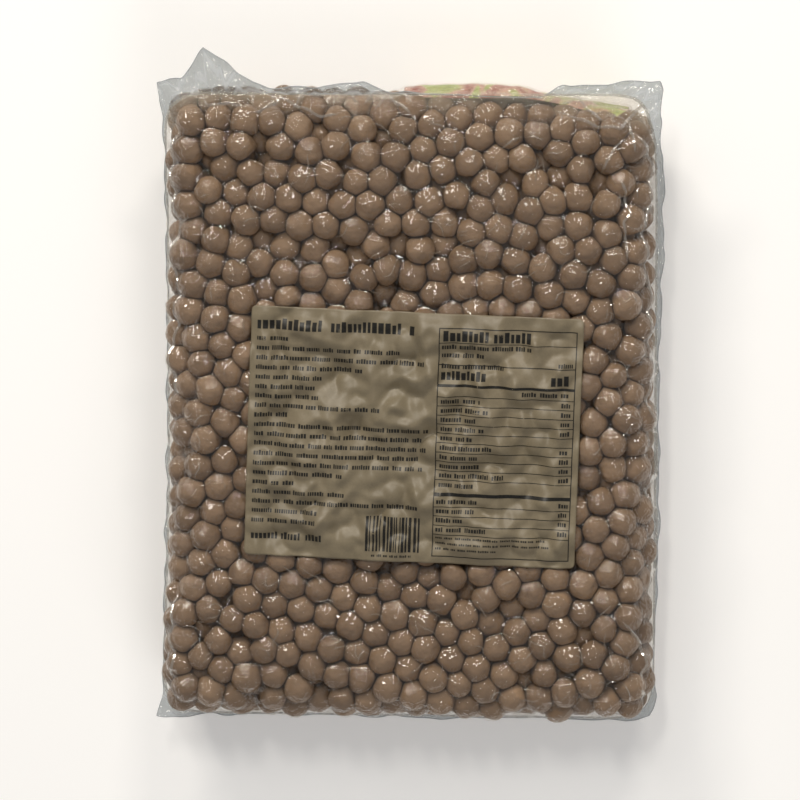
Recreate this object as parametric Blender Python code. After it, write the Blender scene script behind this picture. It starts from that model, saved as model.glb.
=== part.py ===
"""A clear vacuum bag packed tight with uncooked tapioca pearls, lying with its label side up.

+X is the photograph's right, +Y its top and +Z points out of the labelled face. The model is worked
out around the middle of the bag's seam, and at the end it is moved so that its box stands on the
origin. Each pearl that touches the film is settled by a small seeded packing of the whole bag.
"""

import math

import bmesh
import bpy
import numpy as np
from mathutils import Matrix, Vector, kdtree

# The filled part of the bag, in metres.
HALF_WIDTH = 0.1125
HALF_LENGTH = 0.1460
HALF_THICK = 0.0275
FOOT_FLARE = 0.0022
LEAN = -0.0016
FOOT_LEAN = -0.0023
CORNER_POWER = 4.0
EDGE_POWER = 3.0
SQUARE_LIMIT = 1.3

# The labelled face's crown, and two sets of shallow waves over it, in radians to a metre.
CROWN = 0.0016
SWELL = 0.0009
CROSSED_WAVES = (61.0, 47.0)
CROSSED_START = (0.8, -0.5)
SLANTED_WAVES = (29.0, 83.0)
SLANTED_SHARE = 0.7

# The pearls.
PEARL_RADIUS = 0.0064
PEARL_SPREAD = 0.035
PEARL_COUNT = 2130
HEIGHT_SPREAD = 0.0006
SEED = 11
SETTLE_STEPS = 400
STEPS_BETWEEN_SEARCHES = 10
SEARCH_REACH = 1.35
START_DEPTH = 0.5
PUSH_SHARE = 0.32

# The core that the pearls are fused to, as depths under the film.
CORE_DEPTH_FACE = 0.0044
CORE_DEPTH_SIDE = 0.0030
CORE_DEPTH_UNDER = 0.0014
CORE_BANDS = 4
CORE_FLAT_LINES = (0.2, 0.6)
RIM_START = 0.72
RIM_WIDTH = 0.20
WELD = 0.0001

# Which pearls are fused to the core, by how far outward they face, and with how many sides.
SIDE_PEARL = -0.80
FACE_PEARL = 0.62
TOP_PEARL = 0.75
OUTER_DEPTH = 1.25
FOOT_PEARL = 0.0004
FUSED_SCALE = 0.97
PEARL_SEGMENTS = 5
FACE_RINGS = 4
SIDE_RINGS = 3
KEPT_SHARE = 0.70

# The information label, turned a little clockwise.
LABEL_SIZE = (0.1520, 0.1150)
LABEL_CENTRE = (0.0014, -0.0125)
LABEL_TURN = math.radians(-2.1)
LABEL_CELLS = (14, 11)
LABEL_THICK = 0.0004
LABEL_CORNER = 0.0009
LABEL_LIFT = 0.0005
LABEL_MARGIN = 0.0020
LABEL_SPARE = 0.0066
DRAPE_STIFFNESS = 0.0240
DRAPE_SOFT = 0.0003

# The printed sheet under the bag, which wraps over the top end.
SHEET_LEFT = -0.0040
SHEET_RIGHT = 0.0980
SHEET_FOOT = -0.0450
SHEET_TOP = 0.0150
SHEET_CELLS = (3, 8)
SHEET_DEPTH = 0.0006
SHEET_THICK = 0.0004
SHEET_MARGIN = 0.0020
SHEET_RECESS = 0.0019

# Air between pieces that touch.
GAP = 0.0003
BED_THICK = 0.0060

# The film's seam, which stands out around the bag.
FILM_HALF_THICK = 0.0005
SEAM_SIDE = 0.0030
SEAM_FOOT = 0.0018
SEAM_HEAD = 0.0040
SEAM_LIFT = 0.0180


def half_width_at(y):
    """Half the filled width, which grows a little towards the foot."""
    foot = np.clip(-y / HALF_LENGTH, 0.0, 1.0)
    return HALF_WIDTH + FOOT_FLARE * foot**2


def lean_at(y):
    """Place across of the bag's middle line, which leans to the left towards the foot."""
    foot = np.clip(-y / HALF_LENGTH, 0.0, 1.0)
    return LEAN + FOOT_LEAN * foot**2


def face_rise(x, y):
    """How far the labelled face swells above the flat."""
    across = 1.0 - (x / HALF_WIDTH) ** 2
    along = 1.0 - (y / HALF_LENGTH) ** 2
    crown = CROWN * np.clip(across, 0.0, 1.0) * np.clip(along, 0.0, 1.0)
    crossed = np.sin(x * CROSSED_WAVES[0] + CROSSED_START[0])
    crossed = crossed * np.cos(y * CROSSED_WAVES[1] + CROSSED_START[1])
    slanted = np.sin(x * SLANTED_WAVES[0] + y * SLANTED_WAVES[1])
    return crown + SWELL * (crossed + SLANTED_SHARE * slanted)


def wall_depth(points):
    """Depth of each point under the film and the film's outward direction there."""
    x, y, z = points.T
    aside = x - lean_at(y)
    across = np.maximum(np.abs(aside) - (half_width_at(y) - HALF_THICK), 0.0)
    along = np.maximum(np.abs(y) - (HALF_LENGTH - HALF_THICK), 0.0)
    out = (across**CORNER_POWER + along**CORNER_POWER) ** (1.0 / CORNER_POWER) + 1e-9
    height = z - np.where(z > 0.0, face_rise(x, y), 0.0) * np.clip(z / HALF_THICK, 0.0, 1.0)
    reach = (out**EDGE_POWER + np.abs(height) ** EDGE_POWER) ** (1.0 / EDGE_POWER)
    sideways = (out / reach) ** (EDGE_POWER - 1.0)
    slope = np.stack(
        [
            np.sign(aside) * (across / out) ** (CORNER_POWER - 1.0) * sideways,
            np.sign(y) * (along / out) ** (CORNER_POWER - 1.0) * sideways,
            np.sign(height) * (np.abs(height) / reach) ** (EDGE_POWER - 1.0),
        ],
        axis=1,
    )
    steepness = np.linalg.norm(slope, axis=1) + 1e-9
    return (HALF_THICK - reach) / steepness, slope / steepness[:, None]


def behind_sheet(points, margin):
    """Which points lie under the printed sheet, or closer to its edge than the margin."""
    x, y, z = points.T
    across = (x > SHEET_LEFT - margin) & (x < SHEET_RIGHT + margin)
    on_back = (z < -HALF_THICK / 2.0) & (y > SHEET_FOOT - margin)
    on_end = (y > HALF_LENGTH - HALF_THICK) & (z < SHEET_TOP + margin)
    return across & (on_back | on_end)


def near_pairs(points, reach):
    """Index pairs of the points closer to each other than reach."""
    tree = kdtree.KDTree(len(points))
    for index, point in enumerate(points):
        tree.insert(point, index)
    tree.balance()
    pairs = []
    for index, point in enumerate(points):
        for _, other, _ in tree.find_range(point, reach):
            if other > index:
                pairs.append((index, other))
    return np.array(pairs).T


def settle_pearls():
    """Centres and radii of all the pearls, pushed apart and held in by the film."""
    random = np.random.default_rng(SEED)
    box = np.array([HALF_WIDTH, HALF_LENGTH, HALF_THICK])
    trial = random.uniform(-1.0, 1.0, (PEARL_COUNT * 2, 3)) * box
    centres = trial[wall_depth(trial)[0] > PEARL_RADIUS * START_DEPTH][:PEARL_COUNT]
    radii = PEARL_RADIUS * (1.0 + PEARL_SPREAD * random.uniform(-1.0, 1.0, len(centres)))
    wall = radii + random.uniform(-1.0, 1.0, len(centres)) * HEIGHT_SPREAD
    for step in range(SETTLE_STEPS):
        if step % STEPS_BETWEEN_SEARCHES == 0:
            first, second = near_pairs(centres, 2.0 * PEARL_RADIUS * SEARCH_REACH)
            touch = radii[first] + radii[second]
        apart = centres[first] - centres[second]
        distance = np.linalg.norm(apart, axis=1) + 1e-9
        push = apart * (PUSH_SHARE * np.maximum(touch - distance, 0.0) / distance)[:, None]
        for axis in range(3):
            centres[:, axis] += np.bincount(first, push[:, axis], len(centres))
            centres[:, axis] -= np.bincount(second, push[:, axis], len(centres))
        depth, normal = wall_depth(centres)
        kept = wall + SHEET_RECESS * behind_sheet(centres, SHEET_MARGIN)
        centres -= normal * np.maximum(kept - depth, 0.0)[:, None]
    return centres, radii


def skin(u, v, side, depth):
    """Point at a depth under the film. u and v run from -1 to 1, seam to seam, over one side."""
    arc = HALF_THICK * math.pi / 2.0
    run_y = np.abs(v) * (HALF_LENGTH - HALF_THICK + arc)
    flat_y = HALF_LENGTH - HALF_THICK
    inner_y = np.sign(v) * np.minimum(run_y, flat_y)
    flat_x = half_width_at(inner_y) - HALF_THICK
    run_x = np.abs(u) * (flat_x + arc)
    inner_x = np.sign(u) * np.minimum(run_x, flat_x)
    round_x = np.clip((run_x - flat_x) / arc, 0.0, 1.0)
    round_y = np.clip((run_y - flat_y) / arc, 0.0, 1.0)
    disk_x = round_x * np.sqrt(1.0 - round_y**2 / 2.0)
    disk_y = round_y * np.sqrt(1.0 - round_x**2 / 2.0)
    reach = np.sqrt(disk_x**2 + disk_y**2) + 1e-9
    turn = np.clip(reach, 0.0, 1.0) * math.pi / 2.0
    square = (disk_x / reach) ** CORNER_POWER + (disk_y / reach) ** CORNER_POWER + 1e-9
    squarer = np.minimum(square ** (-1.0 / CORNER_POWER), SQUARE_LIMIT)
    bulge = (np.sin(turn) ** EDGE_POWER + np.cos(turn) ** EDGE_POWER) ** (-1.0 / EDGE_POWER)
    radius = (HALF_THICK - depth) * bulge
    x = inner_x + np.sign(u) * disk_x / reach * squarer * np.sin(turn) * radius
    y = inner_y + np.sign(v) * disk_y / reach * squarer * np.sin(turn) * radius
    x = x + lean_at(y)
    z = np.cos(turn) * radius
    if side > 0:
        z = z + face_rise(x, y) * np.cos(turn)
    return np.stack([x, y, side * z], axis=-1)


def drape(x, y, tops):
    """Height of a stiff sheet that lies on the pearls whose tops are given."""
    fall = ((x[..., None] - tops[:, 0]) ** 2 + (y[..., None] - tops[:, 1]) ** 2) / (2.0 * DRAPE_STIFFNESS)
    heights = tops[:, 2] - fall
    highest = heights.max(axis=-1, keepdims=True)
    return highest[..., 0] + DRAPE_SOFT * np.log(np.exp((heights - highest) / DRAPE_SOFT).sum(axis=-1))


def finish_mesh(name, bm):
    """A mesh object of the bmesh, with its faces turned outward."""
    bmesh.ops.recalc_face_normals(bm, faces=bm.faces)
    mesh = bpy.data.meshes.new(name)
    bm.to_mesh(mesh)
    bm.free()
    return bpy.data.objects.new(name, mesh)


def closed_sheet(name, top, bottom):
    """A closed solid between two grids of points of the same size."""
    rows, columns = top.shape[:2]
    bm = bmesh.new()
    upper = [[bm.verts.new(top[i, j]) for j in range(columns)] for i in range(rows)]
    lower = [[bm.verts.new(bottom[i, j]) for j in range(columns)] for i in range(rows)]
    for i in range(rows - 1):
        for j in range(columns - 1):
            bm.faces.new((upper[i][j], upper[i + 1][j], upper[i + 1][j + 1], upper[i][j + 1]))
            bm.faces.new((lower[i][j], lower[i][j + 1], lower[i + 1][j + 1], lower[i + 1][j]))
    rim = [(i, 0) for i in range(rows)]
    rim += [(rows - 1, j) for j in range(1, columns)]
    rim += [(i, columns - 1) for i in range(rows - 2, -1, -1)]
    rim += [(0, j) for j in range(columns - 2, 0, -1)]
    for (i, j), (k, m) in zip(rim, rim[1:] + rim[:1]):
        bm.faces.new((upper[i][j], lower[i][j], lower[k][m], upper[k][m]))
    bmesh.ops.triangulate(bm, faces=bm.faces)
    return finish_mesh(name, bm)


def core_depth(u, v, side):
    """Depth of the core under the film: deeper on the face, so that the pearls stand out there."""
    rim = np.clip((np.maximum(np.abs(u), np.abs(v)) - RIM_START) / RIM_WIDTH, 0.0, 1.0)
    middle = CORE_DEPTH_FACE if side > 0 else CORE_DEPTH_UNDER
    return middle + (CORE_DEPTH_SIDE - middle) * rim


def core_lines(half):
    """Places of the core's grid lines: a few over each rounded edge, and wide steps over the flat."""
    flat = half - HALF_THICK
    edge = flat / (flat + HALF_THICK * math.pi / 2.0)
    right = np.concatenate([edge * np.array(CORE_FLAT_LINES), np.linspace(edge, 1.0, CORE_BANDS + 1)])
    return np.concatenate([-right[::-1], right])


def make_core():
    """The bag's contents under the pearls that show: two cushion-shaped halves that share the seam."""
    v, u = np.meshgrid(core_lines(HALF_LENGTH), core_lines(HALF_WIDTH), indexing="ij")
    rows, columns = v.shape[0] - 1, v.shape[1] - 1
    face = skin(u, v, 1, core_depth(u, v, 1))
    under = skin(u, v, -1, core_depth(u, v, -1))
    bm = bmesh.new()
    for grid in (face, under):
        points = [[bm.verts.new(point) for point in line] for line in grid]
        for i in range(rows):
            for j in range(columns):
                bm.faces.new((points[i][j], points[i][j + 1], points[i + 1][j + 1], points[i + 1][j]))
    bmesh.ops.remove_doubles(bm, verts=bm.verts, dist=WELD)
    bmesh.ops.triangulate(bm, faces=bm.faces)
    return finish_mesh("core", bm)


def make_pearl(name, centre, radius, outward, on_face):
    """One pearl with few sides, its pole turned outward."""
    bm = bmesh.new()
    rings = FACE_RINGS if on_face else SIDE_RINGS
    bmesh.ops.create_uvsphere(
        bm, u_segments=PEARL_SEGMENTS, v_segments=rings, radius=radius * FUSED_SCALE
    )
    turn = outward.to_track_quat("Z", "Y").to_matrix().to_4x4()
    bmesh.ops.transform(bm, matrix=Matrix.Translation(centre) @ turn, verts=bm.verts)
    return finish_mesh(name, bm)


def label_points(cells, size, centre, turn):
    """Grid of x and y over a turned rectangle with its four corner points drawn in."""
    columns, rows = cells
    across, along = np.meshgrid(
        np.linspace(-0.5, 0.5, columns + 1) * size[0],
        np.linspace(-0.5, 0.5, rows + 1) * size[1],
    )
    for row in (0, -1):
        for column in (0, -1):
            across[row, column] -= math.copysign(LABEL_CORNER, across[row, column])
            along[row, column] -= math.copysign(LABEL_CORNER, along[row, column])
    x = centre[0] + across * math.cos(turn) - along * math.sin(turn)
    y = centre[1] + across * math.sin(turn) + along * math.cos(turn)
    return x, y


def under_label(point, margin):
    """Whether a point lies below the label, or nearer to its edge than the margin."""
    dx, dy = point[0] - LABEL_CENTRE[0], point[1] - LABEL_CENTRE[1]
    across = dx * math.cos(LABEL_TURN) + dy * math.sin(LABEL_TURN)
    along = -dx * math.sin(LABEL_TURN) + dy * math.cos(LABEL_TURN)
    return abs(across) < LABEL_SIZE[0] / 2 + margin and abs(along) < LABEL_SIZE[1] / 2 + margin


def sheet_points(depth):
    """Grid of points of the printed sheet at a depth under the film, from its foot over the top end."""
    columns, rows = SHEET_CELLS
    flat = HALF_LENGTH - HALF_THICK
    last = math.pi / 2.0 + math.asin(SHEET_TOP / HALF_THICK)
    angle = np.concatenate([[0.0], np.linspace(0.0, last, rows)])
    across, up = np.sin(angle), -np.cos(angle)
    radius = (HALF_THICK - depth) * (across**EDGE_POWER + np.abs(up) ** EDGE_POWER) ** (-1.0 / EDGE_POWER)
    y = flat + radius * across
    y[0] = SHEET_FOOT
    z = radius * up
    x = np.linspace(SHEET_LEFT, SHEET_RIGHT, columns + 1)
    grid = np.zeros((rows + 1, columns + 1, 3))
    grid[..., 0] = x[None, :]
    grid[..., 1] = y[:, None]
    grid[..., 2] = z[:, None]
    return grid


def seam_outline():
    """The film's outer edge, counter-clockwise from the foot's left corner, rising towards the head."""
    foot = HALF_LENGTH + SEAM_FOOT
    head = HALF_LENGTH + SEAM_HEAD
    wide = HALF_WIDTH + FOOT_FLARE
    side = HALF_WIDTH + SEAM_SIDE
    outline = [
        (-wide - 0.0025, -foot - 0.0005, 0.0),
        (-wide + 0.0080, -foot - 0.0025, 0.0),
        (-0.0600, -foot + 0.0005, 0.0),
        (-0.0100, -foot - 0.0010, 0.0),
        (0.0500, -foot + 0.0010, 0.0),
        (wide - 0.0120, -foot, 0.0),
        (wide - 0.0010, -foot + 0.0020, 0.0),
        (wide + 0.0025, -foot + 0.0120, 0.0),
        (wide - 0.0005, -foot + 0.0240, 0.0),
        (wide, -0.1000, 0.0),
        (side, -0.0600, 0.0),
        (side - 0.0010, 0.0200, 0.0),
        (side + 0.0010, 0.0700, 0.0),
        (side + 0.0010, 0.1100, SEAM_LIFT * 0.4),
        (side - 0.0010, head - 0.0160, SEAM_LIFT),
        (side + 0.0005, head - 0.0040, SEAM_LIFT),
        (side - 0.0010, head, SEAM_LIFT),
        (side - 0.0450, head - 0.0020, SEAM_LIFT),
        (0.0600, head - 0.0080, SEAM_LIFT),
        (0.0060, head - 0.0060, SEAM_LIFT),
        (-0.0200, head, SEAM_LIFT),
        (-0.0640, head - 0.0020, SEAM_LIFT),
        (-0.0780, head + 0.0030, SEAM_LIFT),
        (-0.0940, head + 0.0150, SEAM_LIFT),
        (-0.1035, head, SEAM_LIFT),
        (-side, head - 0.0010, SEAM_LIFT),
        (-side + 0.0010, 0.1200, SEAM_LIFT * 0.5),
        (-side, 0.0900, 0.0),
        (-side + 0.0010, 0.0400, 0.0),
        (-side, -0.0300, 0.0),
        (-side - 0.0010, -0.0800, 0.0),
        (-wide - 0.0005, -0.1200, 0.0),
    ]
    return [(x + lean_at(y), y, z) for x, y, z in outline]


def make_seam():
    """The film that stands out around the bag, as a thin plate from its middle, with an ear at one corner."""
    half = Vector((0.0, 0.0, FILM_HALF_THICK))
    outline = [Vector(point) for point in seam_outline()]
    bm = bmesh.new()
    upper = [bm.verts.new(point + half) for point in outline]
    lower = [bm.verts.new(point - half) for point in outline]
    above = bm.verts.new(half)
    below = bm.verts.new(-half)
    for i in range(len(outline)):
        bm.faces.new((above, upper[i - 1], upper[i]))
        bm.faces.new((below, lower[i], lower[i - 1]))
        bm.faces.new((upper[i - 1], lower[i - 1], lower[i], upper[i]))
    return finish_mesh("seam", bm)


def drop_scraps(bm):
    """Removes every loose body except the one with the most faces."""
    left = set(bm.verts)
    bodies = []
    while left:
        body, reached = set(), [left.pop()]
        while reached:
            vertex = reached.pop()
            body.add(vertex)
            for edge in vertex.link_edges:
                other = edge.other_vert(vertex)
                if other in left:
                    left.remove(other)
                    reached.append(other)
        bodies.append(body)
    bodies.sort(key=len)
    for body in bodies[:-1]:
        bmesh.ops.delete(bm, geom=list(body), context="VERTS")


def fuse(name, base, pieces):
    """One solid of the base and all the pieces, by a single union on their collection."""
    scene = bpy.context.scene.collection
    joined = bpy.data.collections.new("pieces_of_" + name)
    scene.children.link(joined)
    for piece in pieces:
        joined.objects.link(piece)
    scene.objects.link(base)
    union = base.modifiers.new("join", "BOOLEAN")
    union.operation = "UNION"
    union.solver = "MANIFOLD"
    union.operand_type = "COLLECTION"
    union.collection = joined
    graph = bpy.context.evaluated_depsgraph_get()
    mesh = bpy.data.meshes.new_from_object(base.evaluated_get(graph))
    for piece in list(joined.objects):
        bpy.data.objects.remove(piece)
    bpy.data.collections.remove(joined)
    bpy.data.objects.remove(base)
    bm = bmesh.new()
    bm.from_mesh(mesh)
    bpy.data.meshes.remove(mesh)
    drop_scraps(bm)
    bmesh.ops.triangulate(bm, faces=bm.faces)
    return finish_mesh(name, bm)


def thin_out(obj):
    """Lets go of the smallest triangles that the union left, except in the label's bed."""
    away = [
        vertex.index
        for vertex in obj.data.vertices
        if vertex.co.z < 0.0 or not under_label(vertex.co, LABEL_MARGIN)
    ]
    obj.vertex_groups.new(name="away_from_label").add(away, 1.0, "REPLACE")
    fewer = obj.modifiers.new("fewer", "DECIMATE")
    fewer.ratio = KEPT_SHARE
    fewer.vertex_group = "away_from_label"


def make_material(name, colour, roughness):
    """A plain surface of one colour."""
    material = bpy.data.materials.new(name)
    material.use_nodes = True
    shader = material.node_tree.nodes["Principled BSDF"]
    shader.inputs["Base Color"].default_value = (*colour, 1.0)
    shader.inputs["Roughness"].default_value = roughness
    return material


def stand_on_origin(objects):
    """Moves the meshes together, so that their common box is centred over the origin and stands on it."""
    corners = np.array([vertex.co for obj in objects for vertex in obj.data.vertices])
    low, high = corners.min(axis=0), corners.max(axis=0)
    shift = Matrix.Translation((-(low[0] + high[0]) / 2, -(low[1] + high[1]) / 2, -low[2]))
    for obj in objects:
        obj.data.transform(shift)


def main():
    for obj in list(bpy.data.objects):
        bpy.data.objects.remove(obj)
    centres, radii = settle_pearls()
    depth, normal = wall_depth(centres)
    outer = depth < PEARL_RADIUS * OUTER_DEPTH
    hidden = behind_sheet(centres, PEARL_RADIUS / 2.0)
    face = outer & (normal[:, 2] > TOP_PEARL)
    tops = centres[face] + np.array([0.0, 0.0, 1.0]) * radii[face][:, None]

    x, y = label_points(LABEL_CELLS, LABEL_SIZE, LABEL_CENTRE, LABEL_TURN)
    height = drape(x, y, tops) + LABEL_LIFT
    label = closed_sheet(
        "info_label", np.dstack([x, y, height + LABEL_THICK]), np.dstack([x, y, height])
    )
    bed_z = height - GAP
    label_bed = closed_sheet(
        "label_bed", np.dstack([x, y, bed_z]), np.dstack([x, y, bed_z - BED_THICK])
    )
    sheet = closed_sheet(
        "print_sheet", sheet_points(SHEET_DEPTH), sheet_points(SHEET_DEPTH + SHEET_THICK)
    )
    sheet_bed = closed_sheet(
        "sheet_bed",
        sheet_points(SHEET_DEPTH + SHEET_THICK + GAP),
        sheet_points(SHEET_DEPTH + BED_THICK),
    )
    pieces = [label_bed, sheet_bed, make_seam()]
    for index in np.flatnonzero(outer):
        lowest = centres[index, 2] - radii[index]
        is_foot = lowest < -HALF_THICK - FOOT_PEARL
        if (normal[index, 2] < SIDE_PEARL and not is_foot) or hidden[index]:
            continue
        on_face = normal[index, 2] > FACE_PEARL
        if on_face and under_label(centres[index], LABEL_SPARE):
            continue
        centre = Vector(centres[index])
        outward = Vector(normal[index])
        pieces.append(make_pearl("pearl_%03d" % index, centre, radii[index], outward, on_face))
    print("pearls fused", len(pieces) - 3, "outer", int(outer.sum()), "all", len(centres))
    bag = fuse("bag_of_pearls", make_core(), pieces)
    thin_out(bag)

    model = bpy.data.collections.new("bag_of_tapioca_pearls")
    bpy.context.scene.collection.children.link(model)
    looks = (
        (bag, make_material("pearl", (0.19, 0.13, 0.09), 0.45)),
        (label, make_material("label_paper", (0.34, 0.29, 0.20), 0.5)),
        (sheet, make_material("print", (0.40, 0.38, 0.12), 0.5)),
    )
    for obj, material in looks:
        obj.data.materials.clear()
        obj.data.materials.append(material)
        model.objects.link(obj)
    stand_on_origin([obj for obj, _ in looks])


main()
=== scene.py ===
"""The looks of a clear vacuum bag packed with tapioca pearls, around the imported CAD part.

The pearls are settled by the same seeded packing as in the CAD, then squeezed flat where they touch.
The film is a membrane drawn tight over them. The label lies on the film, and the printed sheet is
inside it at the back and over the top end.

Pack coordinates have +X to the photograph's right, +Y to its top, +Z out of the labelled face, and
their origin in the middle of the bag's seam. Every mesh is built there and moved once, by PLACE, to
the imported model. Lengths are in metres.
"""

import math

import bpy
import numpy as np
from mathutils import Matrix, Vector, kdtree


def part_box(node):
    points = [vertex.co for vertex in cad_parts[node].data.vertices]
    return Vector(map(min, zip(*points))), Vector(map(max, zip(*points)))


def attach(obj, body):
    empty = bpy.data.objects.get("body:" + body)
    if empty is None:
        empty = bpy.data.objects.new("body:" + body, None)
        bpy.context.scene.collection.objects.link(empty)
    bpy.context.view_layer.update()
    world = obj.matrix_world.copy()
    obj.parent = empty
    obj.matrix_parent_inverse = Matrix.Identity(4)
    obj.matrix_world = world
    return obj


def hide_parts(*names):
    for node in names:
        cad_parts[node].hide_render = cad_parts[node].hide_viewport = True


# The filled part of the bag, as in the CAD.
HALF_WIDTH = 0.1125
HALF_LENGTH = 0.1460
HALF_THICK = 0.0275
FOOT_FLARE = 0.0022
LEAN = -0.0016
FOOT_LEAN = -0.0023
CORNER_POWER = 4.0
EDGE_POWER = 3.0
SQUARE_LIMIT = 1.3
FLAT_LENGTH = HALF_LENGTH - HALF_THICK
EDGE_ARC = HALF_THICK * math.pi / 2.0

# The labelled face's crown, and two sets of shallow waves over it, in radians to a metre.
CROWN = 0.0016
SWELL = 0.0009
CROSSED_WAVES = (61.0, 47.0)
CROSSED_START = (0.8, -0.5)
SLANTED_WAVES = (29.0, 83.0)
SLANTED_SHARE = 0.7

# The packing of the pearls, as in the CAD.
PEARL_RADIUS = 0.0064
PEARL_SPREAD = 0.035
PEARL_COUNT = 2130
HEIGHT_SPREAD = 0.0006
SEED = 11
SETTLE_STEPS = 400
STEPS_BETWEEN_SEARCHES = 10
SEARCH_REACH = 1.35
START_DEPTH = 0.5
PUSH_SHARE = 0.32

# The printed sheet and the label, as in the CAD.
SHEET_LEFT = -0.0040
SHEET_RIGHT = 0.0980
SHEET_FOOT = -0.0450
SHEET_TOP = 0.0150
SHEET_DEPTH = 0.0006
SHEET_MARGIN = 0.0020
SHEET_RECESS = 0.0019
LABEL_SIZE = (0.1520, 0.1150)
LABEL_CENTRE = (0.0014, -0.0125)
LABEL_TURN = math.radians(-2.1)

# How deep the layers of pearls reach, in radii, how upright the wall is on either face, and how
# the pearls are shaped.
OUTER_LAYER = 1.25
SECOND_LAYER = 3.1
FACE_LEAN = 0.5
FINE_CELLS = 6
COARSE_CELLS = 4
PLUMP = 1.13
SQUASH = 0.060
SUNK_DEPTH = 0.0026
SUNK_POWER = 3.5
FACETS = 8
FACET_REACH = (0.900, 1.03)
SIZE_RANGE = (0.94, 1.06)
JITTER = 0.00035
RAISED_FROM = (0.0070, 0.0120)

# The slanted end of the heap at the head's right corner: a point, the line's outward direction, how
# far beyond the line pearls are still kept, and how deep they are pushed together.
SLANT_POINT = np.array([0.0480, 0.1475])
SLANT_WAY = np.array([0.217, 0.976])
SLANT_KEPT = 0.0090
SLANT_DEEP = 0.0110
SLANT_MARGIN = 0.0040
CONTACT_REACH = 1.2
CONTACT_GAP = 0.00004
CONTACT_SOFT = 0.00024
LUMP_HEIGHT = 0.00011
LUMP_WAVES = 4
LUMP_RATE = 2.5
LEAST_FACING = 0.05
CORE_DEPTH = 0.0165
CORE_ROWS = 41
CORE_COLUMNS = 31

# The film: its grid over each side of the bag, how it is drawn in, and in pearl radii, how deep
# pearls may lie and still hold it, and how far around one it is tested.
FILM_ROWS = 271
FILM_COLUMNS = 215
FILM_ROOT = 0.0080
FILM_CLEARANCE = 0.00050
FILM_SUCTION = 0.00024
FILM_ROUNDS = 260
HOLDING_LAYER = 2.4
HOLDING_REACH = 1.6
FLOOR_CLEARANCE = 0.00005

# The seam that stands out around the bag. Each of its waves has a length, a size and a start, and
# where it is narrow, a share of its width is drawn in on the left and on the right.
SEAM_SIDE = 0.0030
SEAM_FOOT = 0.0018
SEAM_HEAD = 0.0040
SEAM_LIFT = 0.0180
SEAM_STEP = 0.0008
SEAM_CELLS = 8
SEAM_TENT = 0.0012
SEAM_TENT_REACH = 0.0018
SEAM_TENT_FALL = 0.6
SEAM_WAVE = 0.0007
SEAM_WAVES = ((0.031, 0.5, 0.3), (0.017, 0.35, 1.9), (0.0092, 0.3, 4.0), (0.0051, 0.16, 2.2))
SEAM_RAGGED = 0.0010
SEAM_WAVE_POWER = 1.4
SEAM_FULL_WIDTH = 0.0030
SEAM_MOST_WAVE = 1.5
SEAM_DRAWN = (0.62, 0.15)
SEAM_DRAWN_BELOW = 0.0075
SEAM_SMOOTHED = 10
SEAM_STREAKS = (3.0, 7.0, 140.0)
SEAM_BEAD = 0.00022
SEAM_BEAD_TURNS = (0.5, 1.0, 1.5, 2.0)
SLACK_REACH = 0.0100
SLACK_GAP = 0.0016

# The printed sheet as it shows: it stands out over the top end, and its edge rises in an arch.
SHEET_ROWS = (70, 80)
SHEET_COLUMNS = 90
SHEET_THICK = 0.0002
SHEET_ARCH_RIGHT = 0.0560
SHEET_ARCH = 0.0012
SHEET_BULGE = 0.0022
SHEET_OUTSIDE = -0.0009
SHEET_TUCK = 0.0022
SHEET_LOWERED = 0.0080
SHEET_SEARCH = 0.0075
SHEET_POINT_REACH = 0.0016
SHEET_CLEARANCE = 0.0004
SHEET_ARCH_POWER = 0.7
SHEET_LOWERED_OVER = 0.02
SHEET_OUT_FROM = -0.002
SHEET_OUT_OVER = 0.012
SHEET_RIPPLE = 0.0003
SHEET_RIPPLES = (390.0, 9.0, 160.0)
SHEET_TUCKED_FROM = 0.84
SHEET_TUCKED_OVER = 0.16
SHEET_SLANT = 1.1

# The film's larger folds, as lines of the photograph's pixels.
NAMED_FOLDS = (
    ((200, 100), (204, 107), (213, 107), (230, 102), (246, 109)),
    ((251, 114), (265, 110), (280, 101), (293, 104), (316, 116), (338, 118)),
    ((290, 108), (303, 98), (320, 94), (342, 88), (345, 86), (353, 103), (361, 106)),
    ((361, 106), (372, 98), (385, 95), (399, 96), (412, 104)),
    ((557, 94), (569, 96), (580, 102), (603, 120)),
    ((552, 104), (569, 115), (596, 126), (614, 133), (628, 118), (644, 100)),
    ((628, 116), (630, 135), (631, 154)),
    ((599, 175), (605, 160), (614, 149), (622, 139)),
    ((634, 136), (645, 149), (650, 175), (646, 198), (649, 207), (646, 226), (643, 242), (646, 260),
     (650, 290), (646, 330), (652, 370), (648, 410), (653, 450), (650, 500), (654, 540), (650, 590)),
    ((617, 179), (627, 198), (629, 213), (622, 222), (629, 241), (628, 260)),
    ((622, 620), (634, 632), (645, 648), (646, 668), (641, 686)),
    ((637, 690), (644, 702), (645, 716)),
    ((168, 600), (171, 622), (166, 640), (169, 668), (165, 690)),
    ((172, 130), (169, 170), (173, 215), (168, 260), (172, 300), (167, 350), (170, 400)),
    ((372, 110), (385, 99), (400, 104), (412, 113)),
    ((500, 150), (512, 141), (520, 138)),
)

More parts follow.
